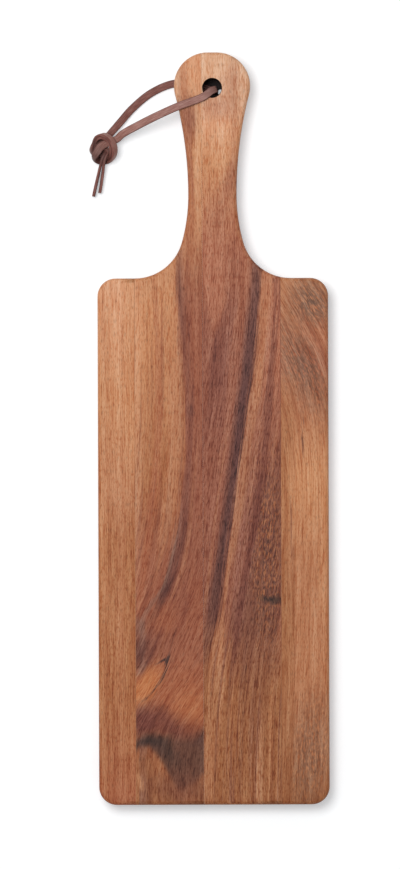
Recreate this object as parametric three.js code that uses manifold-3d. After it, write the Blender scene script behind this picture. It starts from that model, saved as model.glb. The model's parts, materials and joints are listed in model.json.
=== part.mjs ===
// A serving board of four edge-glued hardwood staves, with a flat leather lace through its handle.
// Millimetres, +Z up. The board lies with its serving face up and its handle towards +Y, and the origin is
// on the table below its middle. One leg of the lace passes under the handle, so the board leans on it.
import * as THREE from 'three';
import { mergeVertices } from 'three/addons/utils/BufferGeometryUtils.js';
import Module from 'manifold-3d';

const wasm = await Module();
wasm.setup();

// Driving dimensions: the board
const bladeLength = 321;
const boardThickness = 15;
const leftStaveWidth = 22.5;
const innerLeftStaveWidth = 41.3;
const innerRightStaveWidth = 47.4;
const rightStaveWidth = 29.2;
const glueFilm = 0.2;
const bladeCornerRadius = 11;
const edgeRounding = 2.5;

// Driving dimensions: the handle
const handleLength = 139;
const neckWidth = 29.6;
const neckFromShoulder = 52;
const lowerNeckRadius = 153;
const shoulderFillet = 30.6;
const handleEndRadius = 20.5;
const handleEndFlat = 5.6;
const holeDiameter = 11;
const holeFromEnd = 21.8;
const holeRounding = 0.5;

// Driving dimensions: the lace
const laceWidth = 4.7;
const laceThickness = 1.9;
const laceEdgeCut = 0.4;
const laceClearance = 0.3;
const tableClearance = 0.06;
const holeLaceWidth = 4.2;
const knotLaceWidth = 3.4;
const wrapLaceWidth = 4.2;
const knotLaceThickness = 1.1;
const knotClearance = 0.6;

// Facets
const stepsPerArc = 8;
const stepsPerRounding = 4;
const knotStep = 1.1;
const legStep = 2.5;

// Values worked out from the driving dimensions
const innerStaves = innerLeftStaveWidth + glueFilm + innerRightStaveWidth;
const bladeWidth = leftStaveWidth + glueFilm + innerStaves + glueFilm + rightStaveWidth;
const boardLength = bladeLength + handleLength;
const boardEnd = boardLength / 2;
const shoulder = bladeLength - boardEnd;
const neck = shoulder + neckFromShoulder;
const holeCentre = boardEnd - holeFromEnd;
const restEdge = edgeRounding - boardEnd;
const propHeight = tableClearance + laceThickness + laceClearance;
const propAngle = Math.asin(propHeight / (holeCentre - laceWidth - restEdge));

// The outline: arcs that meet without a corner, drawn round the board from the middle of its lower end
function boardOutline() {
  const half = bladeWidth / 2;
  const corner = bladeCornerRadius;
  const endCentre = new THREE.Vector2(handleEndFlat / 2, boardEnd - handleEndRadius);

  // The upper neck arc touches the rounded end from outside, which settles its radius
  const across = neckWidth / 2 - endCentre.x;
  const along = endCentre.y - neck;
  const span = across ** 2 + along ** 2 - handleEndRadius ** 2;
  const upperNeckRadius = span / (2 * (handleEndRadius - across));
  const upperCentre = new THREE.Vector2(neckWidth / 2 + upperNeckRadius, neck);
  const endTurn = Math.atan2(upperCentre.y - endCentre.y, upperCentre.x - endCentre.x);

  // The shoulder fillet touches the lower neck arc from inside and the shoulder line
  const lowerCentre = new THREE.Vector2(neckWidth / 2 + lowerNeckRadius, neck);
  const filletRise = neck - shoulder - shoulderFillet;
  const filletReach = Math.sqrt((lowerNeckRadius - shoulderFillet) ** 2 - filletRise ** 2);
  const filletCentre = new THREE.Vector2(lowerCentre.x - filletReach, shoulder + shoulderFillet);
  const filletTurn = Math.atan2(lowerCentre.y - filletCentre.y, lowerCentre.x - filletCentre.x);

  const quarter = Math.PI / 2;
  const shape = new THREE.Shape();
  shape.moveTo(0, -boardEnd);
  shape.absarc(half - corner, corner - boardEnd, corner, -quarter, 0, false);
  shape.absarc(half - corner, shoulder - corner, corner, 0, quarter, false);
  shape.absarc(filletCentre.x, filletCentre.y, shoulderFillet, -quarter, filletTurn - Math.PI, true);
  shape.absarc(lowerCentre.x, lowerCentre.y, lowerNeckRadius, filletTurn - Math.PI, -Math.PI, true);
  shape.absarc(upperCentre.x, upperCentre.y, upperNeckRadius, Math.PI, endTurn + Math.PI, true);
  shape.absarc(endCentre.x, endCentre.y, handleEndRadius, endTurn, quarter, false);
  shape.absarc(-endCentre.x, endCentre.y, handleEndRadius, quarter, Math.PI - endTurn, false);
  shape.absarc(-upperCentre.x, upperCentre.y, upperNeckRadius, -endTurn, 0, true);
  shape.absarc(-lowerCentre.x, lowerCentre.y, lowerNeckRadius, 0, -filletTurn, true);
  shape.absarc(-filletCentre.x, filletCentre.y, shoulderFillet, -filletTurn, -quarter, true);
  shape.absarc(corner - half, shoulder - corner, corner, quarter, Math.PI, false);
  shape.absarc(corner - half, corner - boardEnd, corner, Math.PI, 3 * quarter, false);
  return shape;
}

// A slab of the outline with quarter-round edges
function roundedSlab(shape, rounding) {
  const geometry = new THREE.ExtrudeGeometry(shape, {
    depth: boardThickness - 2 * rounding,
    curveSegments: stepsPerArc,
    bevelThickness: rounding,
    bevelSize: rounding,
    bevelOffset: -rounding,
    bevelSegments: stepsPerRounding,
  });
  return geometry.translate(0, 0, rounding);
}

// The drilled hole as a cutter: a turned shape that flares at both faces by the rounding of the rim
function holeCutter() {
  const radius = holeDiameter / 2;
  const beyond = 1;
  const profile = new THREE.Path();
  profile.moveTo(0, -beyond);
  profile.lineTo(radius + holeRounding, -beyond);
  profile.lineTo(radius + holeRounding, 0);
  profile.absarc(radius + holeRounding, holeRounding, holeRounding, -Math.PI / 2, -Math.PI, true);
  const top = boardThickness - holeRounding;
  profile.absarc(radius + holeRounding, top, holeRounding, Math.PI, Math.PI / 2, true);
  profile.lineTo(radius + holeRounding, boardThickness + beyond);
  profile.lineTo(0, boardThickness + beyond);
  const geometry = new THREE.LatheGeometry(profile.getPoints(stepsPerRounding / 2), 4 * stepsPerArc);
  return geometry.rotateX(Math.PI / 2).translate(0, holeCentre, 0);
}

// A box that reaches past the board everywhere but across it, where it ends exactly at two planes
function slice(from, to) {
  const geometry = new THREE.BoxGeometry(1, 2 * boardLength, 4 * boardThickness);
  const position = geometry.attributes.position;
  for (let i = 0; i < position.count; i += 1) {
    position.setX(i, position.getX(i) < 0 ? from : to);
  }
  return geometry;
}

function solidOf(geometry) {
  const bare = geometry.clone();
  bare.deleteAttribute('normal');
  bare.deleteAttribute('uv');
  const merged = mergeVertices(bare, 1e-4);
  const triangles = [];
  const index = merged.index.array;
  for (let i = 0; i < index.length; i += 3) {
    const [a, b, c] = index.slice(i, i + 3);
    if (a !== b && b !== c && c !== a) triangles.push(a, b, c);
  }
  return new wasm.Manifold(new wasm.Mesh({
    numProp: 3,
    vertProperties: new Float32Array(merged.attributes.position.array),
    triVerts: new Uint32Array(triangles),
  }));
}

function geometryOf(solid) {
  const mesh = solid.getMesh();
  const geometry = new THREE.BufferGeometry();
  geometry.setAttribute('position', new THREE.BufferAttribute(mesh.vertProperties, 3));
  geometry.setIndex(new THREE.BufferAttribute(mesh.triVerts, 1));
  geometry.computeVertexNormals();
  return geometry;
}

// The glued panel, cut to its outline and drilled, then parted at the glue lines
function boardPieces() {
  const panel = solidOf(roundedSlab(boardOutline(), edgeRounding)).subtract(solidOf(holeCutter()));
  const woods = [
    ['stave_left', leftStaveWidth, 0xc8935f],
    ['stave_inner_left', innerLeftStaveWidth, 0xa86f48],
    ['stave_inner_right', innerRightStaveWidth, 0x9a6344],
    ['stave_right', rightStaveWidth, 0xb9824f],
  ];
  const glues = ['glue_line_left', 'glue_line_middle', 'glue_line_right'];
  const pieces = new THREE.Group();
  let edge = -bladeWidth / 2;
  woods.forEach(([name, width, colour], i) => {
    const first = i === 0;
    const last = i === woods.length - 1;
    const from = first ? edge - boardThickness : edge;
    const to = last ? edge + width + boardThickness : edge + width;
    const wood = new THREE.MeshStandardMaterial({ color: colour, roughness: 0.5, metalness: 0 });
    addBodies(pieces, name, panel.intersect(solidOf(slice(from, to))), wood);
    edge += width;
    if (last) return;
    const glue = new THREE.MeshStandardMaterial({ color: 0x6b4a33, roughness: 0.6, metalness: 0 });
    addBodies(pieces, glues[i], panel.intersect(solidOf(slice(edge, edge + glueFilm))), glue);
    edge += glueFilm;
  });
  return pieces;
}

// One mesh for each separate body: a glue line that the hole interrupts comes out as two
function addBodies(group, name, solid, material) {
  solid.decompose().forEach((body, i) => {
    const mesh = new THREE.Mesh(geometryOf(body), material);
    mesh.name = i === 0 ? name : `${name}_${i + 1}`;
    group.add(mesh);
  });
}

// Heights on the leaning board: its underside and serving face, at a place along it counted from the hole
function undersideAt(fromHole) {
  return (holeCentre + fromHole - restEdge) * Math.tan(propAngle);
}

function faceAt(fromHole) {
  return undersideAt(fromHole) + boardThickness / Math.cos(propAngle);
}

// A station of a strand: where its middle lies, which way one face looks, and its section there.
// Places are counted from the point on the table below the hole
function station(place, face, width = laceWidth, thickness = laceThickness, step = legStep) {
  return { at: new THREE.Vector3(...place), face: new THREE.Vector3(...face), width, thickness, step };
}

// The section of a lace that is drawn in towards its size in the knot, by a part of the way
function drawnIn(part) {
  const { lerp } = THREE.MathUtils;
  return [lerp(laceWidth, knotLaceWidth, part), lerp(laceThickness, knotLaceThickness, part)];
}

// The knot: a doubled overhand, with its tails coming out towards the viewer. Its places are counted
// from the table below its middle. Both strands go through it, so one path serves for both
const knotMiddle = new THREE.Vector3(-67.4, -36.4, 0);
const strandSpacing = knotLaceThickness + knotClearance;

function inKnot(x, y, z) {
  return new THREE.Vector3(x, y, z).add(knotMiddle).toArray();
}

// The collar: the turn that closes the knot. It stands tilted, with its right side raised over the legs.
// A place on it is given by an angle, zero at the raised side, that grows towards the end of the handle
const upright = new THREE.Vector3(0, 0, 1);
const collarMiddle = new THREE.Vector3(1.6, 0.4, 6.2);
const collarTilt = THREE.MathUtils.degToRad(38);
const collarHeading = THREE.MathUtils.degToRad(22);
const collarRise = 7;
const collarReach = 8;

function collar(degrees, width = wrapLaceWidth) {
  const turn = THREE.MathUtils.degToRad(degrees);
  const slope = new THREE.Vector3(Math.cos(collarTilt), 0, Math.sin(collarTilt));
  const rise = slope.multiplyScalar(Math.cos(turn));
  const across = new THREE.Vector3(0, Math.sin(turn), 0);
  const face = rise.clone().add(across).applyAxisAngle(upright, collarHeading);
  const place = rise.multiplyScalar(collarRise).addScaledVector(across, collarReach);
  place.applyAxisAngle(upright, collarHeading).add(collarMiddle);
  return [place.toArray(), face.toArray(), width];
}

// Over the middle, down at the lower left, below the tails, round as the collar, in again under the start.
// Each entry is a place, the way that one face looks there, and the width of the lace
const knotPath = [
  [[-3, -2, 7.6], [-0.1, -0.05, 1], wrapLaceWidth],
  [[-4.3, -4.4, 6.8], [-0.5, -0.3, 0.8], knotLaceWidth],
  [[-4.5, -6, 4.7], [-0.85, -0.4, 0.35], 3],
  [[-3.2, -7.4, 2.6], [-0.6, -0.8, 0.1], 2.8],
  [[-0.8, -7.8, 1.6], [-0.05, -1, 0], 2.7],
  [[2.4, -7.9, 1.6], [0.1, -1, 0], 2.7],
  [[5.2, -6.8, 4.3], [0.5, -0.85, 0], 3],
  collar(-45, 3.6),
  collar(-15),
  collar(15),
  collar(45),
  collar(75),
  collar(105, 3.8),
  collar(128, 3.4),
  [[-5.5, 2.4, 2.3], [-0.95, 0.3, 0.1], knotLaceWidth],
  [[-6.3, -0.5, 2.3], [-0.95, -0.2, 0.3], knotLaceWidth],
  [[-5, -2.5, 2.3], [-0.55, -0.83, 0.1], knotLaceWidth],
  [[-2.6, -2.9, 2.6], [0, -1, 0], 3.2],
  [[-0.2, -2.4, 3.2], [0.3, -0.95, -0.1], 3],
  [[1.7, -1.4, 4.1], [0.1, -0.91, -0.4], 2.8],
  [[3, -1.7, 4.7], [-0.58, -0.66, -0.48], 2.8],
  [[3.5, -3, 5.2], [-0.87, 0.15, -0.45], 2.8],
  [[2.2, -4.8, 5.9], [-0.8, 0.48, -0.35], 3],
  [[0.9, -7, 5.9], [-0.93, 0.35, -0.1], knotLaceWidth],
  [[0.1, -9.6, 5.2], [-1, 0.15, 0], knotLaceWidth],
];

function knotStations(side) {
  return knotPath.map(([place, face, width]) => {
    const normal = new THREE.Vector3(...face).normalize();
    const at = new THREE.Vector3(...place).addScaledVector(normal, (side * strandSpacing) / 2);
    return station(inKnot(...at.toArray()), normal.toArray(), width, knotLaceThickness, knotStep);
  });
}

// Where the lace stands in the hole, beside its middle
const inHole = { x: 2.2, y: -0.9, middle: (undersideAt(-0.9) + faceAt(-0.9)) / 2 };

// The strand that rises in the hole, crosses the handle and comes down to the knot
function frontStrand() {
  const { x, y, middle } = inHole;
  const up = [0, 0, 1];
  const rise = [0.93, 0.37, 0];
  const over = (fromHole) => faceAt(fromHole) + laceClearance + laceThickness / 2;
  return [
    station([x, y, middle + laceClearance / 2], rise, holeLaceWidth),
    station([x, y, faceAt(y) - 1.8], rise, holeLaceWidth),
    station([x - 0.6, y - 0.2, over(y) - 0.7], [0.7, 0.28, 0.66], holeLaceWidth, laceThickness, knotStep),
    station([x - 2.6, y - 1, over(y) + 0.1], up),
    station([-5.5, -5.6, over(-5.6)], up),
    station([-21.1, -11.5, over(-11.5)], up),
    station([-34.9, -17.6, 16.6], [-0.16, 0, 0.98]),
    station([-46.4, -23.2, 12.8], [-0.3, 0, 0.95]),
    station([-55, -27.8, 9.2], [-0.3, 0, 0.95], ...drawnIn(0.2)),
    station(inKnot(8.8, 5.6, 6.9), [-0.2, 0, 0.97], ...drawnIn(0.7)),
    station(inKnot(5.4, 4.4, 6.1), [0, 0, 1], ...drawnIn(1), knotStep),
    station(inKnot(2.3, 3.1, 6.3), [0.1, 0.05, 1], ...drawnIn(1), knotStep),
    station(inKnot(-0.9, 0.8, 7.9), [-0.05, 0, 1], wrapLaceWidth, knotLaceThickness, knotStep),
    ...knotStations(1),
    station(inKnot(-1.7, -12.6, 3.7), [-0.96, 0.2, 0], ...drawnIn(0.6), knotStep),
    station(inKnot(-2.7, -17, 2.6), [-0.98, 0.2, 0], ...drawnIn(0.2)),
    station(inKnot(-3.9, -22, 2.45), [-0.98, 0.2, 0]),
    station(inKnot(-5.5, -29.2, 2.45), [-0.98, 0.2, 0]),
  ];
}

// The strand that drops in the hole, passes under the handle and lies on the table up to the knot
function backStrand() {
  const { x, y, middle } = inHole;
  const up = [0, 0, 1];
  const drop = [-0.93, -0.37, 0];
  const lying = tableClearance + laceThickness / 2;
  return [
    station([x, y, middle - laceClearance / 2], drop, holeLaceWidth),
    station([x, y, undersideAt(y) + 1.8], drop, holeLaceWidth),
    station([x - 0.7, y + 0.1, lying + 0.8], [-0.7, 0, 0.7], holeLaceWidth, laceThickness, knotStep),
    station([x - 2.8, y + 0.5, lying + 0.1], up, laceWidth, laceThickness, knotStep),
    station([x - 5.2, y + 1.1, lying], up),
    station([-12, 2.4, lying], up),
    station([-23.1, 3.5, lying], up),
    station([-36.9, -2, lying], up),
    station([-48.8, -11.6, 1.3], [0.1, 0, 0.99]),
    station([-56.4, -20.2, 2.4], [0.1, 0, 0.99], ...drawnIn(0.2)),
    station(inKnot(5, 9.3, 3.1), [0, 0, 1], ...drawnIn(0.8)),
    station(inKnot(2.6, 6.5, 3.6), [0, 0, 1], ...drawnIn(1), knotStep),
    station(inKnot(0.1, 3.9, 4.3), [0, 0, 1], ...drawnIn(1), knotStep),
    station(inKnot(-1.9, 1.1, 5.7), [-0.05, 0, 1], wrapLaceWidth, knotLaceThickness, knotStep),
    ...knotStations(-1),
    station(inKnot(0.6, -12.2, 3.7), [-0.98, 0.15, 0], ...drawnIn(0.6), knotStep),
    station(inKnot(0, -16.6, 2.6), [-0.99, 0.1, 0], ...drawnIn(0.2)),
    station(inKnot(-0.8, -22, 2.45), [-0.99, 0.1, 0]),
    station(inKnot(-1.7, -27.1, 2.45), [-0.99, 0.1, 0]),
  ];
}

// The lace's section: a flat strip with its corners taken off
function section(width, thickness) {
  const side = width / 2;
  const face = thickness / 2;
  const cut = laceEdgeCut;
  return [
    [side, face - cut], [side - cut, face], [cut - side, face], [-side, face - cut],
    [-side, cut - face], [cut - side, -face], [side - cut, -face], [side, cut - face],
  ];
}

// Rings of the section along a smooth curve through the stations
function strandRings(stations) {
  const curve = new THREE.CatmullRomCurve3(stations.map((s) => s.at));
  const spans = stations.length - 1;
  const rings = [];
  for (let span = 0; span < spans; span += 1) {
    const from = stations[span];
    const to = stations[span + 1];
    const steps = Math.ceil(from.at.distanceTo(to.at) / Math.min(from.step, to.step));
    const last = span === spans - 1;
    for (let step = 0; step < steps + (last ? 1 : 0); step += 1) {
      const part = step / steps;
      const place = (span + part) / spans;
      const middle = curve.getPoint(place);
      const heading = curve.getTangent(place);
      const sideways = from.face.clone().lerp(to.face, part).cross(heading).normalize();
      const facing = heading.clone().cross(sideways);
      const width = THREE.MathUtils.lerp(from.width, to.width, part);
      const thickness = THREE.MathUtils.lerp(from.thickness, to.thickness, part);
      rings.push(section(width, thickness).map(([across, out]) => (
        middle.clone().addScaledVector(sideways, across).addScaledVector(facing, out)
      )));
    }
  }
  return rings;
}

// One closed strip: the rings joined side by side, with a flat cut at each end
function stripGeometry(rings) {
  const sides = rings[0].length;
  const index = [];
  for (let i = 0; i + 1 < rings.length; i += 1) {
    for (let j = 0; j < sides; j += 1) {
      const a = i * sides + j;
      const b = i * sides + ((j + 1) % sides);
      index.push(a, b, b + sides, a, b + sides, a + sides);
    }
  }
  const end = (rings.length - 1) * sides;
  for (let j = 1; j + 1 < sides; j += 1) {
    index.push(0, j + 1, j, end, end + j, end + j + 1);
  }
  const geometry = new THREE.BufferGeometry().setFromPoints(rings.flat());
  geometry.setIndex(index);
  geometry.computeVertexNormals();
  return geometry;
}

// The least gap of the lace to itself, on the points of rings that lie a few widths apart along it
function leastGap(lengths) {
  const apart = Math.ceil((1.5 * laceWidth) / knotStep);
  let least = Infinity;
  lengths.forEach((rings, n) => {
    lengths.slice(n).forEach((others, m) => {
      rings.forEach((ring, i) => {
        const start = m === 0 ? i + apart : 2 * apart;
        others.slice(start).forEach((other) => {
          if (ring[0].distanceTo(other[0]) > 3 * laceWidth) return;
          ring.forEach((p) => other.forEach((q) => { least = Math.min(least, p.distanceTo(q)); }));
        });
      });
    });
  });
  return least;
}

function laceMeshes() {
  const group = new THREE.Group();
  group.position.y = holeCentre;
  const leather = new THREE.MeshStandardMaterial({ color: 0x8c5a50, roughness: 0.7, metalness: 0 });
  const lengths = [frontStrand(), backStrand()].map(strandRings);
  ['lace_front_strand', 'lace_back_strand'].forEach((name, i) => {
    const mesh = new THREE.Mesh(stripGeometry(lengths[i]), leather);
    mesh.name = name;
    group.add(mesh);
  });
  console.log(`least gap of the lace to itself: ${leastGap(lengths).toFixed(2)} mm`);
  return group;
}

// The board leans about the lower edge of its blade, where it rests on the table
function leaningBoard() {
  const pivot = new THREE.Group();
  pivot.position.y = restEdge;
  pivot.rotation.x = propAngle;
  const pieces = boardPieces();
  pieces.position.y = -restEdge;
  pivot.add(pieces);
  return pivot;
}

const servingBoard = new THREE.Group();
servingBoard.name = 'serving_board';
servingBoard.add(leaningBoard(), laceMeshes());

export default servingBoard;
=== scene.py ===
# %% [markdown]
# # A serving board of four staves, with a leather lace
#
# The solids of the part come first, as a fixed frame. Everything below dresses that frame and never moves
# it: finer staves with drawn wood figure, a lace of real leather strips, then the camera, the light and
# the table. Lengths are written in millimetres, because a maker thinks in them, and become metres where a
# mesh is made.

# %% Load the frame
import json
import math
from functools import partial

import bmesh
import bpy
from mathutils import Matrix, Vector


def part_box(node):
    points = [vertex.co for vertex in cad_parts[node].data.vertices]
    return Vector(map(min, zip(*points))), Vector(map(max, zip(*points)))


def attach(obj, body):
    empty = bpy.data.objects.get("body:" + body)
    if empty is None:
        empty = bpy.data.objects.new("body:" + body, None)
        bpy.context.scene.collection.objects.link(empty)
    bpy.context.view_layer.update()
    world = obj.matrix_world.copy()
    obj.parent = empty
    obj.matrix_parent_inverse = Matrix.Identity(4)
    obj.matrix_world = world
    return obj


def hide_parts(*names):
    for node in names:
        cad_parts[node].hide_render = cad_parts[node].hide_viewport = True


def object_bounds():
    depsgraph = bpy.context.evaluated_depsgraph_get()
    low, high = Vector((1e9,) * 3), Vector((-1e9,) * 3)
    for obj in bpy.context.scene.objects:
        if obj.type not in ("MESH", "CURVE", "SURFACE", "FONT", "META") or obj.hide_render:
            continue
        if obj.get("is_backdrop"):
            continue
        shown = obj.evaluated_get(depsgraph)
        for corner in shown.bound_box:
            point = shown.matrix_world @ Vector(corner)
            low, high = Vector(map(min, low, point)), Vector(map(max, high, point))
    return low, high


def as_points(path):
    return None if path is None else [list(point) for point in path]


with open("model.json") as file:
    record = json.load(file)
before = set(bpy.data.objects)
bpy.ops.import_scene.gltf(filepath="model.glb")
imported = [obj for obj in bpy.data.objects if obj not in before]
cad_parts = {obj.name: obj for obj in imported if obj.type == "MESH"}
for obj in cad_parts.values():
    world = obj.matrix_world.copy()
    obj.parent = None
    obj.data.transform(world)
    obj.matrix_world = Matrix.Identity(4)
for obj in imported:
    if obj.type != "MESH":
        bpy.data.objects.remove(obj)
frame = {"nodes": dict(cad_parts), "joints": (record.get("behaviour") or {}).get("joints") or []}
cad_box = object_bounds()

MM = 0.001
swing = frame["joints"][0]
hole_at_underside = Vector(swing["pos_m"]) / MM
lean = math.atan2(-swing["axis"][1], swing["axis"][2])
print("nodes", sorted(frame["nodes"]), "lean of the board in degrees", round(math.degrees(lean), 3))

# %% [markdown]
# ## The camera
#
# The board was photographed from straight above with a long lens, so its sides hardly show. The picture
# is 869 pixels high and one pixel covers 0.6112 mm of the board, which settles the distance for a 250 mm
# lens. The board stands a fifth of a degree off upright in the picture, so the camera is rolled by that
# much.

# %% Camera
PICTURE_HEIGHT_PX = 869
MM_PER_PX = 0.6112
LENS_MM = 250
SENSOR_MM = 36
PICTURE_MIDDLE = (-8.1, -3.6)
CAMERA_ROLL_DEG = -0.198
BOARD_THICKNESS = 15

camera_height = LENS_MM * PICTURE_HEIGHT_PX * MM_PER_PX / SENSOR_MM + BOARD_THICKNESS
camera_data = bpy.data.cameras.new("camera")
camera_data.lens = LENS_MM
camera_data.sensor_width = SENSOR_MM
camera = bpy.data.objects.new("camera", camera_data)
camera.location = Vector((*PICTURE_MIDDLE, camera_height)) * MM
camera.rotation_euler = (0, 0, math.radians(CAMERA_ROLL_DEG))
bpy.context.scene.collection.objects.link(camera)
bpy.context.scene.camera = camera
print("camera", round(camera_height), "mm above the table")

# %% [markdown]
# ## The lace: where it runs
#
# The lace is one flat strip of leather, doubled: it goes through the hole and both ends are tied together
# in an overhand knot. It is made as two strands that part inside the hole. A strand is a list of
# stations. Each one has a place, counted from the table below the hole, the way that one face of the
# strip looks there, and the size of its section. A smooth curve then runs through the places, as a
# leather strip does.

# %% A station of the lace
LACE_WIDTH = 4.7
LACE_THICKNESS = 1.9


def station(place, face, width=LACE_WIDTH, thickness=LACE_THICKNESS):
    return Vector(place), Vector(face).normalized(), width, thickness


# %% [markdown]
# The knot is an overhand knot, tied in both strands at once, and the picture shows it from the side where
# the tails come out. Both strands go through it together, one on the other, so one path serves for both
# and each keeps to its own side of it. The collar is the turn that closes the knot. It stands tilted, its
# right side raised over the legs, so it is worked out from an angle. The strips are drawn thicker here
# than in the solids, which keep a gap, and the turns are drawn in a little, so that the knot looks pulled
# tight.

# %% The knot
STRAND_SPACING = 1.7
KNOT_THICKNESS = 1.7
KNOT_WIDTH = 4.2
KNOT_DRAWN_IN = 0.94
COLLAR_WIDTH = 4.7
KNOT_MIDDLE = Vector((-67.4, -36.4, 0))
COLLAR_MIDDLE = Vector((1.6, 0.4, 6.2))
COLLAR_TILT = math.radians(38)
COLLAR_HEADING = math.radians(22)
COLLAR_RISE, COLLAR_REACH = 7, 8


def in_knot(x, y, z):
    return KNOT_MIDDLE + Vector((x, y, z))


def collar(degrees, width=COLLAR_WIDTH):
    """A place on the collar, at an angle from its raised side towards the top of the picture."""
    turn = math.radians(degrees)
    rise = Vector((math.cos(COLLAR_TILT), 0, math.sin(COLLAR_TILT))) * math.cos(turn)
    across = Vector((0, 1, 0)) * math.sin(turn)
    heading = Matrix.Rotation(COLLAR_HEADING, 3, "Z")
    place = COLLAR_MIDDLE + heading @ (rise * COLLAR_RISE + across * COLLAR_REACH)
    return place, heading @ (rise + across), width


# Across the middle, down at the lower left, below the tails, round as the collar,
# and back in under the start. A place, a face and a width, and a thickness where the strip is pressed
KNOT_PATH = [
    ((-3, -2, 7.6), (-0.1, -0.05, 1), COLLAR_WIDTH),
    ((-4.3, -4.4, 6.8), (-0.5, -0.3, 0.8), KNOT_WIDTH),
    ((-4.5, -6, 4.7), (-0.85, -0.4, 0.35), 3.7),
    ((-3.2, -7.4, 2.6), (-0.6, -0.8, 0.1), 3.4, 2.4),
    ((-0.8, -7.8, 1.75), (-0.05, -1, 0), 3, 3.4),
    ((2.4, -7.9, 1.75), (0.1, -1, 0), 3, 2.4),
    ((5.2, -6.8, 4.3), (0.5, -0.85, 0), 3.6),
    collar(-45, 4.4),
    collar(-15),
    collar(15),
    collar(45),
    collar(75),
    collar(105, 4.5),
    collar(128, 4.2),
    ((-5.5, 2.4, 2.45), (-0.95, 0.3, 0.1), KNOT_WIDTH),
    ((-6.3, -0.5, 2.5), (-0.95, -0.2, 0.3), KNOT_WIDTH),
    ((-5, -2.5, 2.4), (-0.55, -0.83, 0.1), KNOT_WIDTH, 2.6),
    ((-2.6, -2.9, 2.6), (0, -1, 0), 4, 3.6),
    ((-0.2, -2.4, 3.2), (0.3, -0.95, -0.1), 4, 3.6),
    ((1.7, -1.4, 4.1), (0.1, -0.91, -0.4), 4, 2.6),
    ((3, -1.7, 4.7), (-0.58, -0.66, -0.48), 4, 2.6),
    ((3.5, -3, 5.2), (-0.87, 0.15, -0.45), 4),
    ((2.2, -4.8, 5.9), (-0.8, 0.48, -0.35), 4),
    ((0.9, -7, 5.9), (-0.93, 0.35, -0.1), KNOT_WIDTH),
    ((0.1, -9.6, 5.2), (-1, 0.15, 0), KNOT_WIDTH),
]


def knot_stations(side):
    found = []
    for place, face, width, *pressed_thickness_or_painted_shade in KNOT_PATH:
        normal = Vector(face).normalized()
        at = Vector(place) + normal * side * STRAND_SPACING / 2
        at = in_knot(at.x * KNOT_DRAWN_IN, at.y * KNOT_DRAWN_IN, at.z)
        found.append(station(at, normal, width, *(pressed_thickness_or_painted_shade or [KNOT_THICKNESS])))
    return found


# %% [markdown]
# The front strand rises out of the hole, lies over the handle and comes down to the knot in the air. The
# back strand drops through the hole and runs on the table below the handle. The board leans a little,
# because its handle end rests on the lace, so the heights on it are worked out from the lean. The places
# were chosen one by one.

# %% Heights that the lace keeps to
LACE_CLEARANCE = 0.3
TABLE_CLEARANCE = 0.06
lying = TABLE_CLEARANCE + LACE_THICKNESS / 2


def underside_at(from_hole):
    """Height of the leaning board's underside, so far from the hole along the board."""
    return hole_at_underside.z + from_hole * math.tan(lean)


def face_at(from_hole):
    return underside_at(from_hole) + BOARD_THICKNESS / math.cos(lean)


def over(from_hole):
    """Height of the lace's middle where it lies on the serving face."""
    return face_at(from_hole) + LACE_CLEARANCE + LACE_THICKNESS / 2


print("middle of the lace in mm: on the table", round(lying, 2), "and on the board", round(over(0), 2))

# %% The two strands
HOLE_X, HOLE_Y = 2.2, -0.9
HOLE_LACE_WIDTH = 4.2
BEND_DEPTH = 1.8
UP = (0, 0, 1)
RISE = (0.93, 0.37, 0)
DROP = (-0.93, -0.37, 0)
hole_middle = (underside_at(HOLE_Y) + face_at(HOLE_Y)) / 2

front_strand = [
    station((HOLE_X, HOLE_Y, hole_middle + LACE_CLEARANCE / 2), RISE, HOLE_LACE_WIDTH),
    station((HOLE_X, HOLE_Y, face_at(HOLE_Y) - BEND_DEPTH), RISE, HOLE_LACE_WIDTH),
    station((HOLE_X - 0.6, HOLE_Y - 0.2, over(HOLE_Y) - 0.7), (0.7, 0.28, 0.66), HOLE_LACE_WIDTH),
    station((HOLE_X - 2.6, HOLE_Y - 1, over(HOLE_Y) + 0.1), UP),
    station((-5.5, -5.6, over(-5.6)), UP),
    station((-21.1, -11.5, over(-11.5)), UP),
    station((-34.9, -17.6, 16.6), (-0.16, 0, 0.98)),
    station((-46.4, -23.2, 12.8), (-0.3, 0, 0.95)),
    station((-55, -27.8, 9.2), (-0.3, 0, 0.95), 4.6),
    station(in_knot(8.8, 5.6, 6.9), (-0.2, 0, 0.97), 4.4, 1.8),
    station(in_knot(5.4, 4.4, 6.1), UP, LACE_WIDTH, KNOT_THICKNESS),
    station(in_knot(2.3, 3.1, 6.3), (0.1, 0.05, 1), 5.2, KNOT_THICKNESS),
    station(in_knot(-0.9, 0.8, 7.9), (-0.05, 0, 1), 5, KNOT_THICKNESS),
    *knot_stations(1),
    station(in_knot(-1.7, -12.6, 3.7), (-0.96, 0.2, 0), 4.4, 1.8),
    station(in_knot(-2.7, -17, 2.6), (-0.98, 0.2, 0), 4.6),
    station(in_knot(-3.9, -22, 2.45), (-0.98, 0.2, 0)),
    station(in_knot(-5.5, -29.2, 2.45), (-0.98, 0.2, 0)),
]
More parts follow.
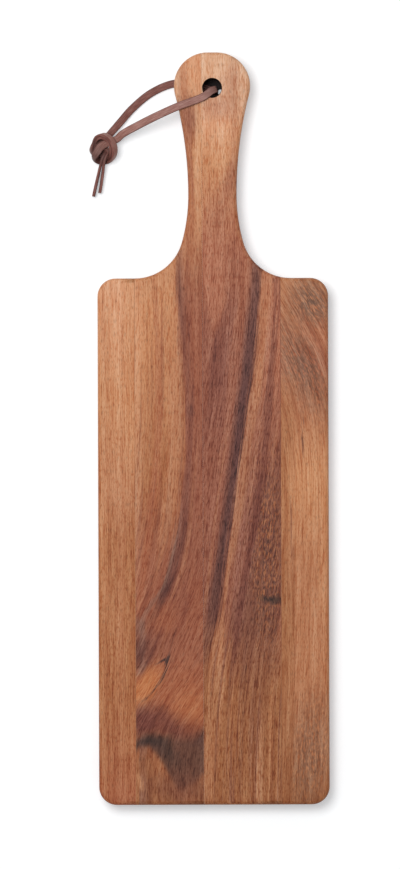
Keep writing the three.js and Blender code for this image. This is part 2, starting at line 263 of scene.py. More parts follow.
back_strand = [
    station((HOLE_X, HOLE_Y, hole_middle - LACE_CLEARANCE / 2), DROP, HOLE_LACE_WIDTH),
    station((HOLE_X, HOLE_Y, underside_at(HOLE_Y) + BEND_DEPTH), DROP, HOLE_LACE_WIDTH),
    station((HOLE_X - 0.7, HOLE_Y + 0.1, lying + 0.8), (-0.7, 0, 0.7), HOLE_LACE_WIDTH),
    station((HOLE_X - 2.8, HOLE_Y + 0.5, lying + 0.1), UP),
    station((HOLE_X - 5.2, HOLE_Y + 1.1, lying), UP),
    station((-12, 2.4, lying), UP),
    station((-23.1, 3.5, lying), UP),
    station((-36.9, -2, lying), UP),
    station((-48.8, -11.6, 1.3), (0.1, 0, 0.99)),
    station((-56.4, -20.2, 2.4), (0.1, 0, 0.99), 4.6),
    station(in_knot(5, 9.3, 3.1), UP, 4.4, 1.8),
    station(in_knot(2.6, 6.5, 3.6), UP, KNOT_WIDTH, KNOT_THICKNESS),
    station(in_knot(0.1, 3.9, 4.3), UP, KNOT_WIDTH, KNOT_THICKNESS),
    station(in_knot(-1.9, 1.1, 5.7), (-0.05, 0, 1), COLLAR_WIDTH, KNOT_THICKNESS),
    *knot_stations(-1),
    station(in_knot(0.6, -12.2, 3.7), (-0.98, 0.15, 0), 4.4, 1.8),
    station(in_knot(0, -16.6, 2.6), (-0.99, 0.1, 0), 4.6),
    station(in_knot(-0.8, -22, 2.45), (-0.99, 0.1, 0)),
    station(in_knot(-1.7, -27.1, 2.45), (-0.99, 0.1, 0)),
]
print("stations of the strands", len(front_strand), len(back_strand))

# %% [markdown]
# ## The lace: its mesh
#
# A strip could be a curve with a flat bevel, but then its twist would be hard to steer. Here rings of a
# rounded section are set along the curve, each one turned to the face that its stations ask for, and
# joined side by side. Each point also stores where it lies across the strip, out from its middle and
# along it, for the finish.

# %% A smooth curve through the stations
LACE_STEP = 0.6


def hermite(p1, p2, out, back, t):
    """The place at a share t of a span, from its two ends and the headings there."""
    a = 2 * t ** 3 - 3 * t ** 2 + 1
    b = t ** 3 - 2 * t ** 2 + t
    return a * p1 + b * out + (1 - a) * p2 + (t ** 3 - t ** 2) * back


def curve_through(places):
    """Points of a centripetal curve for each span between two places."""
    ends = [2 * places[0] - places[1], *places, 2 * places[-1] - places[-2]]
    spans = []
    for p0, p1, p2, p3 in zip(ends, ends[1:], ends[2:], ends[3:]):
        steps = math.ceil((p2 - p1).length / LACE_STEP)
        d0, d1, d2 = (math.sqrt((b - a).length) for a, b in ((p0, p1), (p1, p2), (p2, p3)))
        out = ((p1 - p0) / d0 - (p2 - p0) / (d0 + d1) + (p2 - p1) / d1) * d1
        back = ((p2 - p1) / d1 - (p3 - p1) / (d1 + d2) + (p3 - p2) / d2) * d1
        parts = [i / steps for i in range(steps)]
        spans.append([(t, hermite(p1, p2, out, back, t)) for t in parts])
    spans[-1].append((1.0, places[-1]))
    return spans


# %% Section of the strip
EDGE_ROUNDING = 0.4
STEPS_PER_CORNER = 3


def section(width, thickness):
    """Points of a strip with round edges, as places across it and out from its middle."""
    side, face = width / 2 - EDGE_ROUNDING, thickness / 2 - EDGE_ROUNDING
    points = []
    for quarter, (x, y) in enumerate([(side, face), (-side, face), (-side, -face), (side, -face)]):
        for step in range(STEPS_PER_CORNER + 1):
            turn = math.radians(90 * (quarter + step / STEPS_PER_CORNER))
            across = x + EDGE_ROUNDING * math.cos(turn)
            out = y + EDGE_ROUNDING * math.sin(turn)
            points.append((across, out))
    return points


# %% Mesh of a strand
HOLE_FROM_MIDDLE = 208.2
CUT_EDGE = 1.0


def linked(name, mesh):
    """An object of that name in the scene, holding a finished bmesh."""
    data = bpy.data.meshes.new(name)
    mesh.to_mesh(data)
    mesh.free()
    made = bpy.data.objects.new(name, data)
    bpy.context.scene.collection.objects.link(made)
    return made


def strand_mesh(name, stations, grain_side):
    """A closed strip along the stations, and the line that it follows, in metres."""
    from_hole = Vector((0, HOLE_FROM_MIDDLE, 0))
    spans = curve_through([s[0] for s in stations])
    samples = [(n, t, p) for n, span in enumerate(spans) for t, p in span]
    line = [p for _, _, p in samples]
    mesh = bmesh.new()
    layers = [mesh.verts.layers.float.new(name) for name in ("across", "out", "along")]
    rings = []
    for i, (n, t, middle) in enumerate(samples):
        heading = (line[min(i + 1, len(line) - 1)] - line[max(i - 1, 0)]).normalized()
        (_, face, width, thick), (_, next_face, next_width, next_thick) = stations[n], stations[n + 1]
        sideways = face.lerp(next_face, t).cross(heading).normalized()
        facing = heading.cross(sideways)
        width += t * (next_width - width)
        thick += t * (next_thick - thick)
        ring = []
        for across, out in section(width, thick):
            vert = mesh.verts.new((middle + sideways * across + facing * out + from_hole) * MM)
            places = (2 * across / width, grain_side * 2 * out / thick, i * LACE_STEP)
            for layer, value in zip(layers, places):
                vert[layer] = value
            ring.append(vert)
        rings.append(ring)
    for ring, after in zip(rings, rings[1:]):
        for a, b, c, d in zip(ring, ring[1:] + ring[:1], after[1:] + after[:1], after):
            mesh.faces.new((a, b, c, d)).smooth = True
    # The two ends have their own points, which look like a cut edge all over
    for ring, order in ((rings[0], -1), (rings[-1], 1)):
        cap = [mesh.verts.new(vert.co) for vert in ring[::order]]
        for vert in cap:
            vert[layers[0]] = CUT_EDGE
        mesh.faces.new(cap)
    bmesh.ops.recalc_face_normals(mesh, faces=mesh.faces)
    return linked(name, mesh), [(p + from_hole) * MM for p in line]


strands = {}
# The strip turns over in the hole, so its grain side looks up on the front leg and down on the back one
for name, node, stations, grain_side in (
    ("leather_front_strand", "lace_front_strand", front_strand, 1),
    ("leather_back_strand", "lace_back_strand", back_strand, -1),
):
    strand, line = strand_mesh(name, stations, grain_side)
    length = sum((b - a).length for a, b in zip(line, line[1:]))
    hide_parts(node)
    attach(strand, "lace")
    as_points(line)
    strands[name] = strand
    print(name, round(length / MM), "mm long,", len(strand.data.polygons), "faces")

# %% [markdown]
# ## The staves: their form
#
# The real board is one glued panel, sawn to its outline, with its edges rounded over by a router and a
# hole drilled through the handle. The mesh is made in the same order. The outline is a run of arcs that
# meet without a corner. Each point of it knows which way is outwards, so a ring of the rounding is the
# outline drawn in a little. The panel is then cut into staves and glue films, and the places of the cuts
# come from the frame.

# %% Outline of the board
BOARD_END = 230
SHOULDER = 92
BLADE_CORNER = 11
NECK_WIDTH = 29.6
NECK_FROM_SHOULDER = 51
LOWER_NECK_RADIUS = 107
SHOULDER_FILLET = 30
END_RADIUS = 20.5
END_FLAT = 5.6
CHORD = 1.6
FEWEST_STEPS = 8
SAME_POINT = 0.001

blade_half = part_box("stave_right")[1].x / MM
neck = SHOULDER + NECK_FROM_SHOULDER


def arc(x, y, radius, start, end, hollow=False):
    """Points of an arc, each with the direction that points out of the board. A hollow arc bends inwards."""
    steps = max(FEWEST_STEPS, math.ceil(radius * abs(end - start) / CHORD))
    for i in range(steps + 1):
        turn = start + (end - start) * i / steps
        ray = Vector((math.cos(turn), math.sin(turn), 0))
        yield Vector((x, y, 0)) + radius * ray, -ray if hollow else ray


def half_outline():
    """The right half of the outline, from its lower corner to the end of the handle."""
    corner_x = blade_half - BLADE_CORNER
    end_x, end_y = END_FLAT / 2, BOARD_END - END_RADIUS
    across, along = NECK_WIDTH / 2 - end_x, end_y - neck
    upper_radius = (across ** 2 + along ** 2 - END_RADIUS ** 2) / (2 * (END_RADIUS - across))
    upper_x = NECK_WIDTH / 2 + upper_radius
    end_turn = math.atan2(neck - end_y, upper_x - end_x)
    lower_x = NECK_WIDTH / 2 + LOWER_NECK_RADIUS
    rise = neck - SHOULDER - SHOULDER_FILLET
    reach = math.sqrt((LOWER_NECK_RADIUS - SHOULDER_FILLET) ** 2 - rise ** 2)
    fillet_turn = math.atan2(rise, reach) - math.pi
    quarter = math.pi / 2
    yield from arc(corner_x, BLADE_CORNER - BOARD_END, BLADE_CORNER, -quarter, 0)
    yield from arc(corner_x, SHOULDER - BLADE_CORNER, BLADE_CORNER, 0, quarter)
    yield from arc(lower_x - reach, SHOULDER + SHOULDER_FILLET, SHOULDER_FILLET, -quarter, fillet_turn, True)
    yield from arc(lower_x, neck, LOWER_NECK_RADIUS, fillet_turn, -math.pi, True)
    yield from arc(upper_x, neck, upper_radius, math.pi, end_turn + math.pi, True)
    yield from arc(end_x, end_y, END_RADIUS, end_turn, quarter)


def board_outline():
    right = []
    for point, outward in half_outline():
        if not right or (point - right[-1][0]).length > SAME_POINT:
            right.append((point, outward))
    mirror = Matrix.Scale(-1, 3, (1, 0, 0))
    return right + [(mirror @ p, mirror @ o) for p, o in reversed(right)]


print("outline of", len(board_outline()), "points")


# %% Rounded panel with its hole
EDGE_RADIUS = 2.5
HOLE_RADIUS = 5.8
HOLE_EDGE_RADIUS = 0.5
STEPS_PER_EDGE = 8
HOLE_SIDES = 64


def rounded_wall(radius):
    """Inset and height of each ring of a wall whose two edges are rounded by that radius."""
    turns = [math.pi / 2 * i / STEPS_PER_EDGE for i in range(STEPS_PER_EDGE + 1)]
    low = [(radius * (1 - math.sin(t)), radius * (1 - math.cos(t))) for t in turns]
    return low + [(inset, BOARD_THICKNESS - height) for inset, height in reversed(low)]


def wall(mesh, outline, radius):
    """Skins a rounded wall round an outline and returns its lowest and highest ring."""
    rings = []
    for inset, height in rounded_wall(radius):
        rings.append([mesh.verts.new((p - o * inset + Vector((0, 0, height))) * MM) for p, o in outline])
    for ring, above in zip(rings, rings[1:]):
        for a, b, c, d in zip(ring, ring[1:] + ring[:1], above[1:] + above[:1], above):
            mesh.faces.new((a, b, c, d)).smooth = True
    return rings[0], rings[-1]


def ring_edges(mesh, ring):
    return [mesh.edges.get((a, b)) for a, b in zip(ring, ring[1:] + ring[:1])]


def panel_mesh():
    mesh = bmesh.new()
    outer = wall(mesh, board_outline(), EDGE_RADIUS)
    left = Vector((-1, 0, 0))
    turns = [2 * math.pi * i / HOLE_SIDES for i in range(HOLE_SIDES)]
    rays = [Matrix.Rotation(turn, 3, "Z") @ left for turn in turns]
    centre = Vector((0, HOLE_FROM_MIDDLE, 0))
    inner = wall(mesh, [(centre - HOLE_RADIUS * ray, ray) for ray in rays], HOLE_EDGE_RADIUS)
    for outer_ring, inner_ring in zip(outer, inner):
        edges = ring_edges(mesh, outer_ring) + ring_edges(mesh, inner_ring)
        bmesh.ops.triangle_fill(mesh, use_beauty=True, edges=edges)
    bmesh.ops.recalc_face_normals(mesh, faces=mesh.faces)
    return mesh


panel = panel_mesh()
print("panel of", len(panel.faces), "faces")

# %% Cut a piece out of the panel
CUT_TOLERANCE_M = 1e-9


def keep_side(mesh, x, side):
    """Cuts the mesh at a plane across x, keeps what lies on one side, and closes the cut."""
    geometry = mesh.verts[:] + mesh.edges[:] + mesh.faces[:]
    cut = bmesh.ops.bisect_plane(mesh, geom=geometry, dist=CUT_TOLERANCE_M, plane_co=(x, 0, 0),
                                 plane_no=(side, 0, 0), clear_inner=True)
    edges = [e for e in cut["geom_cut"] if isinstance(e, bmesh.types.BMEdge)]
    bmesh.ops.edgeloop_fill(mesh, edges=edges)


lying_in_frame = (
    Matrix.Translation(hole_at_underside * MM)
    @ Matrix.Rotation(lean, 4, "X")
    @ Matrix.Translation(Vector((0, -HOLE_FROM_MIDDLE, 0)) * MM)
)


def cut_out(node, name, slot, left_cut, right_cut):
    """A piece of the panel between two cuts, which hides the node that it stands for."""
    mesh = panel.copy()
    if left_cut is not None:
        keep_side(mesh, left_cut, 1)
    if right_cut is not None:
        keep_side(mesh, right_cut, -1)
    bmesh.ops.recalc_face_normals(mesh, faces=mesh.faces)
    piece = linked(name, mesh)
    piece.matrix_world = lying_in_frame
    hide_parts(node)
    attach(piece, "board")
    print(name, len(piece.data.polygons), "faces")
    return piece


# %% Staves and glue films
STAVES = {
    "stave_left": ("outer_left_stave", "light_hardwood"),
    "stave_inner_left": ("inner_left_stave", "heart_hardwood"),
    "stave_inner_right": ("inner_right_stave", "heart_hardwood"),
    "stave_right": ("outer_right_stave", "light_hardwood"),
}
GLUE_FILMS = {
    "glue_line_left": "left_glue_film",
    "glue_line_middle": "middle_glue_film",
    "glue_line_right": "right_glue_film",
}
SEAM_CLEARANCE = 0.02
seams = [[corner.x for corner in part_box(node)] for node in GLUE_FILMS]
left_cuts = [None] + [right + SEAM_CLEARANCE * MM for left, right in seams]
right_cuts = [left - SEAM_CLEARANCE * MM for left, right in seams] + [None]
staves = {}
for (node, (name, slot)), left_cut, right_cut in zip(STAVES.items(), left_cuts, right_cuts):
    staves[name] = cut_out(node, name, slot, left_cut, right_cut)
films = [cut_out(node, name, "glue", *seam) for (node, name), seam in zip(GLUE_FILMS.items(), seams)]
panel.free()

# %% [markdown]
# ## Colours and nodes
#
# Colours are written as sRGB hex values, as a colour picker shows them, and one function turns them to
# the linear values that the renderer counts in. One more small function adds any node with its options,
# values and links, and gives back the output that the next node needs.

# %% Colour and node helpers
def linear(code):
    channels = [int(code[i:i + 2], 16) / 255 for i in (1, 3, 5)]
    return [c / 12.92 if c <= 0.04045 else ((c + 0.055) / 1.055) ** 2.4 for c in channels] + [1.0]


def add(tree, kind, inputs, output=0, **options):
    """Adds a node, sets its options, and fills its sockets with values or links."""
    node = tree.nodes.new("ShaderNode" + kind)
    for option, value in options.items():
        setattr(node, option, value)
    for socket, value in inputs.items():
        if isinstance(value, bpy.types.NodeSocket):
            tree.links.new(value, node.inputs[socket])
        else:
            node.inputs[socket].default_value = value
    return node.outputs[output] if node.outputs else node


def new_material(name):
    material = bpy.data.materials.new(name)
    material.use_nodes = True
    material.node_tree.nodes.clear()
    return material, partial(add, material.node_tree)


# %% [markdown]
# ## Oiled acacia
#
# The staves are acacia, planed, sanded along the grain and rubbed with oil. To the eye that is a satin
# surface with golden sapwood, red-brown heartwood, nearly black veins and short dark pores that all run
# along the board. Wood figure is drawn here the way that it grows: a ground tone that changes along the
# stave, then layers of bands and patches that were placed one by one, then fibres and pores over all. It
# is a solid texture, so the figure goes on round the edges and to the back, as in real staves.

# %% Tones of the wood
CREAM = "#d3a787"
SAPWOOD = "#d09a76"
GOLD = "#c38b63"
HONEY = "#b57c58"
TAN = "#ac6f53"
AMBER = "#a66a43"
FLAME = "#bd7849"
RUST = "#a15f3f"
COPPER = "#9a5e44"
UMBER = "#9a613b"
HEART = "#905640"
ASH = "#7a5947"
SMOKE = "#87695c"
HEART_SHADE = "#7d4a3d"
COCOA = "#774734"
WINE = "#713c2f"
VEIN = "#58312b"
KNOT = "#4a312b"
SOOT = "#2c201c"

# %% [markdown]
# First come the fibres. Noise that is stretched along the grain gives streaks, and a size of streaks is
# their width and length. The fibres of a stave needn't be straight: they run beside a line that drifts
# across it. The same streaks sway the places that the layers read, so that the edge of a layer frays
# along the grain.

# %% Fibres of one stave
ALONG_REACH = 232
ACROSS_REACH = 75
HALF_WIDTH_REACH = 40
DEPTH_PER_SEED = 50
WAVE_MM, WAVE_SWAY = (14, 70), 2.4
FIBRE_MM, FIBRE_SWAY = (1.1, 45), 6
BUNDLE_MM, BUNDLE_SWAY = (3.2, 70), 4
FRAY_MM, FRAY_SWAY = (7, 16), 5


class Fibres:
    """Where a point lies among the fibres of one stave. Sizes are in millimetres."""

    def __init__(self, name, seed, slant, drift):
        self.material, self.node = new_material(name)
        place = self.node("TexCoord", {}, "Object")
        place = self.node("VectorMath", {0: place, "Scale": 1 / MM}, operation="SCALE")
        apart = self.node("SeparateXYZ", {0: place}).node.outputs
        self.across = apart["X"]
        self.y = apart["Y"]
        self.depth = self.node("Math", {0: apart["Z"], 1: DEPTH_PER_SEED * seed})
        # The growth rings stand slanted in the stave, so a layer shifts sideways below the serving face
        below = self.node("Math", {0: apart["Z"], 1: BOARD_THICKNESS}, operation="SUBTRACT")
        slanted = self.node("Math", {0: below, 1: slant, 2: self.across}, operation="MULTIPLY_ADD")
        self.x = self.swayed(slanted, self.streaks(slanted, WAVE_MM, 1), WAVE_SWAY)
        line, _, _ = self.curves([(y, x, 0, 0) for y, x in drift], self.y, ALONG_REACH, ACROSS_REACH)
        self.fibre_x = self.node("Math", {0: self.x, 1: line}, operation="SUBTRACT")
        self.fibre = self.streaks(self.fibre_x, FIBRE_MM, 3)
        self.bundle = self.streaks(self.fibre_x, BUNDLE_MM, 2)
        frayed = self.swayed(self.x, self.fibre, FIBRE_SWAY)
        self.frayed_x = self.swayed(frayed, self.bundle, BUNDLE_SWAY)
        self.frayed_y = self.swayed(self.y, self.streaks(self.fibre_x, FRAY_MM, 2), FRAY_SWAY)

    def streaks(self, across, size, detail):
        """Noise in streaks of that size along the fibres."""
        width, length = size
        fibres = self.node("CombineXYZ", {0: across, 1: self.y, 2: self.depth})
        scale = (1 / width, 1 / length, 1 / width)
        stretched = self.node("VectorMath", {0: fibres, 1: scale}, operation="MULTIPLY")
        return self.node("TexNoise", {"Vector": stretched, "Scale": 1.0, "Detail": detail})

    def swayed(self, value, noise, sway):
        """A value that noise moves by up to half of the sway each way."""
        shift = self.node("MapRange", {0: noise, 3: -sway / 2, 4: sway / 2})
        return self.node("Math", {0: value, 1: shift})

    def curves(self, points, value, reach, across_reach):
        """Smooth curves over a length: middle, half width and strength at the points."""
        part = self.node("Math", {0: value, 1: reach}, operation="DIVIDE")
        parts = self.node("CombineXYZ", {0: part, 1: part, 2: part})
        three = self.node("VectorCurve", {"Vector": parts})
        mapping = three.node.mapping
        mapping.extend = "HORIZONTAL"
        rows = sorted(points)
        reaches = (across_reach, HALF_WIDTH_REACH, 1)
        for n, curve in enumerate(mapping.curves):
            first, *between, last = [(row[0] / reach, row[n + 1] / reaches[n]) for row in rows]
            curve.points[0].location = first
            curve.points[1].location = last
            for place in between:
                curve.points.new(*place)
        mapping.update()
        read = self.node("VectorMath", {0: three, 1: reaches}, operation="MULTIPLY")
        return self.node("SeparateXYZ", {0: read}).node.outputs


# %% [markdown]
# The figure is laid over the fibres, one tone at a time. A band is a line along the board with a middle,
# a half width and a strength at a few places. A patch is a soft spot. Streaks and dashes are loose, and
# follow the fibres by themselves. An image of wood would be quicker, but it would stop at the edges and
# fit no other size.

# %% One stave's figure, laid on in layers
STREAK_FROM, STREAK_TO = 0.5, 0.68
STREAK_FADE = 30
# How far past the hole's radius the painted shade on its wall is full, and where it starts
BORE_SHADE_FULL_DEPTH, BORE_SHADE_START_DEPTH = 0.25, 0.4


class Figure(Fibres):
    """The colour of one stave: a ground tone, with more tones laid over it through masks."""

    def __init__(self, name, seed, slant, drift, ground):
        super().__init__(name, seed, slant, drift)
        share = self.node("MapRange", {0: self.y, 1: -ALONG_REACH, 2: ALONG_REACH})
        self.colour = self.node("ValToRGB", {0: share})
        stops = self.colour.node.color_ramp.elements
        for _ in ground[2:]:
            stops.new(0.5)
        for stop, (y, tone) in zip(stops, ground):
            stop.position = 0.5 + 0.5 * y / ALONG_REACH
            stop.color = linear(tone)

    def lay(self, tone, mask):
        self.colour = self.node("Mix", {0: mask, 6: self.colour, 7: linear(tone)}, 2, data_type="RGBA")

    def band(self, tone, points, left=3, right=3, crosswise=False):
        """A band along the stave, or across it. A point has a place, middle, half width and strength."""
        along, across, reach, across_reach = self.y, self.frayed_x, ALONG_REACH, ACROSS_REACH
        if crosswise:
            along, across, reach, across_reach = self.x, self.frayed_y, ACROSS_REACH, ALONG_REACH
        middle, half, mask = self.curves(points, along, reach, across_reach)
        off = self.node("Math", {0: across, 1: middle}, operation="SUBTRACT")
        for softness, operation in ((left, "ADD"), (right, "SUBTRACT")):
            inside = self.node("Math", {0: half, 1: off}, operation=operation)
            edge = self.node("MapRange", {0: inside, 1: -softness / 2, 2: softness / 2},
                             interpolation_type="SMOOTHSTEP")
            mask = self.node("Math", {0: mask, 1: edge}, operation="MULTIPLY")
        self.lay(tone, mask)

    def patch(self, tone, middle, half_size, strength, turn=0, soft=0.9, through=1.0):
        """A soft spot, turned about its middle by so many degrees."""
        spot = self.node("CombineXYZ", {0: self.frayed_x, 1: self.frayed_y})
        spot = self.node("Mapping", {
            "Vector": spot, "Location": (*middle, 0), "Rotation": (0, 0, math.radians(turn)),
            "Scale": (*half_size, 1)}, vector_type="TEXTURE")
        far = self.node("VectorMath", {0: spot}, "Value", operation="LENGTH")
        mask = self.node("MapRange", {0: far, 1: 1 + soft, 2: 1 - soft, 4: strength},
                         interpolation_type="SMOOTHSTEP")
        self.lay(tone, self.node("Math", {0: mask, 1: through}, operation="MULTIPLY"))

    def streaked(self, tone, size, strength, below=BOARD_END):
        """Loose streaks along the grain, up to a height on the board where they fade out."""
        noise = self.streaks(self.fibre_x, size, 2)
        mask = self.node("MapRange", {0: noise, 1: STREAK_FROM, 2: STREAK_TO, 4: strength},
                         interpolation_type="SMOOTHSTEP")
        reach = self.node("MapRange", {0: self.y, 1: below + STREAK_FADE, 2: below})
        self.lay(tone, self.node("Math", {0: mask, 1: reach}, operation="MULTIPLY"))

    def shaded_bore(self, tone):
        """The wall of the drilled hole: its end grain gets painted shade, as dark as the inside of a deep
        hole looks.
        """
        spot = self.node("CombineXYZ", {0: self.across, 1: self.y})
        axis = (0, HOLE_FROM_MIDDLE, 0)
        far = self.node("VectorMath", {0: spot, 1: axis}, "Value", operation="DISTANCE")
        shade_starts, shade_full = HOLE_RADIUS + BORE_SHADE_START_DEPTH, HOLE_RADIUS + BORE_SHADE_FULL_DEPTH
        self.lay(tone, self.node("MapRange", {0: far, 1: shade_starts, 2: shade_full}))

    def dashes(self, size, low, high):
        """Short streaks along the grain, where the noise rises from low to high."""
        streaks = self.streaks(self.fibre_x, size, 1)
        return self.node("MapRange", {0: streaks, 1: low, 2: high}, interpolation_type="SMOOTHSTEP")


# %% [markdown]
# Over the figure go long lines, short fibres, specks and pores, and then the oiled surface. The oil sinks
# in and leaves no film, so the sheen is satin and a little rougher where the fibres are open. Each stave
# gets its own strength of grain and of lines. The length is how far a single fibre runs before it dips
# out of sight.

# %% Fibres, pores and oil over the figure
FINE_WIDTH_MM = 0.62
SPECK_MM = (0.55, 2.4)
# Real pores are 0.2 mm wide. They are drawn 0.5 mm wide here, or they would not show in the render
PORE_MM = (0.5, 4)
PORE_FROM, PORE_TO = 0.57, 0.68
PORE_DEPTH_MM = 0.06
BESIDE_PORE, IN_PORE = 1.14, 0.85
# The gamma starts lower by what the layers add on average, so that the tones stay as written
PLAIN_GAMMA, MEAN_OF_GRAIN, MEAN_OF_LINES = 1.16, 0.19, 0.15
OIL_IOR = 1.47
SMOOTHEST, ROUGHEST = 0.46, 0.6


def finish(stave, figure, grain, lines, length):
    """Lays the fine grain over a figure and puts the oiled wood on its stave."""
    node = figure.node
    pores = figure.dashes(PORE_MM, PORE_FROM, PORE_TO)
    fine = figure.streaks(figure.fibre_x, (FINE_WIDTH_MM, length), 2)
    specks = figure.streaks(figure.fibre_x, SPECK_MM, 1)
    # A gamma deepens a streak and reddens it, as oil does, where a plain scale would only grey it
    deepening = PLAIN_GAMMA - MEAN_OF_GRAIN * grain - MEAN_OF_LINES * lines
    for layer, low, high, deepest, palest in (
        (figure.bundle, 0.2, 0.8, lines, -lines),
        (figure.fibre, 0.25, 0.5, lines, 0),
        (fine, 0.22, 0.5, 0.8 * grain, 0),
        (specks, 0.22, 0.48, 0.5 * grain, 0),
    ):
        change = node("MapRange", {0: layer, 1: low, 2: high, 3: deepest, 4: palest})
        deepening = node("Math", {0: change, 1: deepening})
    colour = node("Gamma", {0: figure.colour, 1: deepening})
    shade = node("MapRange", {0: pores, 3: BESIDE_PORE, 4: IN_PORE})
    colour = node("VectorMath", {0: colour, "Scale": shade}, operation="SCALE")
    height = node("Math", {0: fine, 1: pores}, operation="SUBTRACT")
    bump = node("Bump", {"Strength": 0.5, "Distance": PORE_DEPTH_MM * MM, "Height": height})
    rough = node("MapRange", {0: figure.fibre, 1: 0.3, 2: 0.7, 3: SMOOTHEST, 4: ROUGHEST})
    shader = node("BsdfPrincipled", {
        "Base Color": colour, "Roughness": rough, "IOR": OIL_IOR, "Specular IOR Level": 0.25,
        "Normal": bump})
    node("OutputMaterial", {0: shader})
    stave.data.materials.append(figure.material)
    print(stave.name, "has", len(figure.material.node_tree.nodes), "nodes of wood figure")


# %% [markdown]
# The outer left stave is nearly all sapwood: golden, straight in its grain, and browner towards its lower
# end. A few weak bands are enough, and the fibres do the rest.

# %% Outer left stave: golden sapwood, straight grain
figure = Figure(
    "oiled_acacia_sapwood_left", seed=1, slant=0.35,
    drift=[(-230, -2), (0, 0), (91, 0)],
    ground=[(-230, RUST), (-170, AMBER), (-70, AMBER), (-42, HONEY), (20, GOLD), (91, SAPWOOD)],
)
figure.streaked(AMBER, (2.6, 120), 0.3)
figure.band(GOLD, [(-120, -67, 2, 0), (-75, -67, 2.5, 0.5), (-50, -67, 2.5, 0.4), (-10, -67, 2, 0)])
figure.band(AMBER, [
    (-230, -66, 1.5, 0.3), (-70, -66, 1.6, 0), (20, -66.5, 1.8, 0.25), (91, -67, 1.5, 0.2),
])
figure.band(SAPWOOD, [(-230, -58, 2, 0), (-120, -57, 2, 0.2), (0, -56, 2.4, 0.1), (91, -57, 3, 0.3)])
figure.band(GOLD, [(-40, -51, 2, 0), (0, -51, 2.5, 0.5), (91, -51, 3, 0.75)], left=6)
finish(staves["outer_left_stave"], figure, grain=0.8, lines=0.2, length=14)

# %% [markdown]
# The inner left stave was sawn across the border between sapwood and heartwood. It is pale at its left
# edge and in the handle, and the border swings to the left towards the lower end, where a knot sits. The
# drift gives the fibres the same swing, so that streaks and bands run together.

# %% Inner left stave: sapwood running into heartwood
figure = Figure(
    "oiled_acacia_knotty_heart", seed=2, slant=-0.3,
    drift=[
        (-230, -62), (-190, -58), (-170, -48), (-145, -33), (-118, -22), (-95, -13), (-65, -6),
        (-30, -2), (10, 0), (230, 0),
    ],
    ground=[
        (-230, UMBER), (-170, RUST), (-130, COPPER), (-80, COPPER), (-30, AMBER), (48, GOLD), (75, GOLD),
        (110, HONEY), (170, GOLD), (230, SAPWOOD),
    ],
)
figure.band(SAPWOOD, [
    (-110, -49, 3, 0), (-75, -49, 4, 0.35), (0, -48, 4, 0.4), (91, -49, 4, 0.5),
], right=6)
figure.band(CREAM, [(180, -19, 1.5, 0), (195, -20.5, 2, 0.6), (215, -22, 2.5, 0.8), (228, -21, 3, 0)])
figure.band(RUST, [
    (92, -19, 5, 0.4), (110, -16, 4.5, 0.3), (130, -14.5, 4, 0.45), (160, -14.5, 3.5, 0.5),
    (180, -14.5, 4, 0.55), (200, -16.5, 3.5, 0.5), (215, -17, 2.5, 0.4), (230, -17, 2.5, 0.3),
], left=4, right=5)
# Painted shadow of the lace on the handle, over a dark stain in the wood
figure.patch(HEART_SHADE, (-14, 190), (5, 12), 0.55)
figure.patch(COPPER, (-16, 165), (3.4, 22), 0.5)
figure.band(CREAM, [
    (95, -9, 0.5, 0), (110, -9, 0.5, 0.15), (150, -8.6, 0.5, 0.25), (190, -9, 0.6, 0.25),
    (200, -9, 0.6, 0),
], left=1.5, right=1.5)
figure.band(RUST, [
    (-100, -44.5, 2, 0.3), (-80, -41.5, 2, 0.7), (-50, -38, 2.4, 0.8), (-20, -34.5, 2.2, 0.7),
    (20, -33, 2, 0.55), (60, -33.5, 2, 0.5), (88, -35.5, 2, 0.2),
], left=2, right=2)
figure.band(HONEY, [
    (-100, -39, 1.5, 0), (-85, -35, 2, 0.3), (-65, -30.5, 2.6, 0.6), (-40, -26.5, 3.2, 0.8),
    (-15, -24.5, 3.6, 0.9), (20, -24, 3.8, 0.8), (60, -26.5, 3.6, 0.4), (85, -27, 3, 0),
])
figure.band(HEART, [
    (-145, -26, 22, 0), (-130, -25, 22, 0.5), (-118, -23, 20, 0.8), (-108, -17, 20, 1),
    (-95, -11.5, 20, 1), (-80, -7, 20, 1), (-60, -1.5, 20, 1), (-40, 0.5, 20, 1), (-20, 2.3, 20, 1),
    (15, 2, 20, 1), (60, -0.5, 20, 1), (90, -2, 20, 0.72), (110, -1, 20, 0.2), (125, 0, 20, 0),
], left=2.5)
figure.streaked(WINE, (2.4, 90), 0.3, below=60)
figure.streaked(HONEY, (3, 110), 0.3, below=-20)
figure.patch(RUST, (-10, 56), (8, 40), 0.35)
figure.band(VEIN, [
    (-120, -40, 2, 0.2), (-112, -35.5, 2, 0.6), (-100, -30, 2.4, 0.8), (-85, -24.5, 2.2, 0.6),
    (-70, -20.5, 2.2, 0.48), (-50, -17, 2.6, 0.25), (-30, -15, 2.6, 0.2), (-5, -14.5, 1.6, 0.1),
    (6, -14.6, 1.2, 0.25), (11, -14.8, 1.3, 0.55), (17, -15, 1.2, 0.3), (40, -16, 1.8, 0.25),
    (60, -17.5, 2, 0.3), (75, -19, 2.2, 0.36), (90, -20, 2.2, 0.38), (105, -20, 2, 0.25),
    (115, -19, 1.6, 0),
], left=2.5, right=6)
figure.band(SMOKE, [
    (-115, -44, 2, 0.4), (-105, -37, 1.6, 0.5), (-95, -30.5, 1.4, 0.5), (-80, -26, 1.4, 0.6),
    (-65, -22.5, 1.3, 0.5), (-50, -20, 1, 0),
], left=2, right=2)
figure.band(RUST, [
    (-130, -12, 5, 0), (-110, -12, 5, 0.4), (-75, -10, 4, 0.15), (-30, -9, 3, 0.2), (10, -9, 3, 0.1),
    (60, -9, 3, 0),
])

# %% [markdown]
# A knot is the foot of a branch, cut through. Its wood is dark and turns out of the grain, so some of its
# bands run crosswise, and flame-coloured wood curls round it. The finish comes after it, and so lies over
# the knot as well.

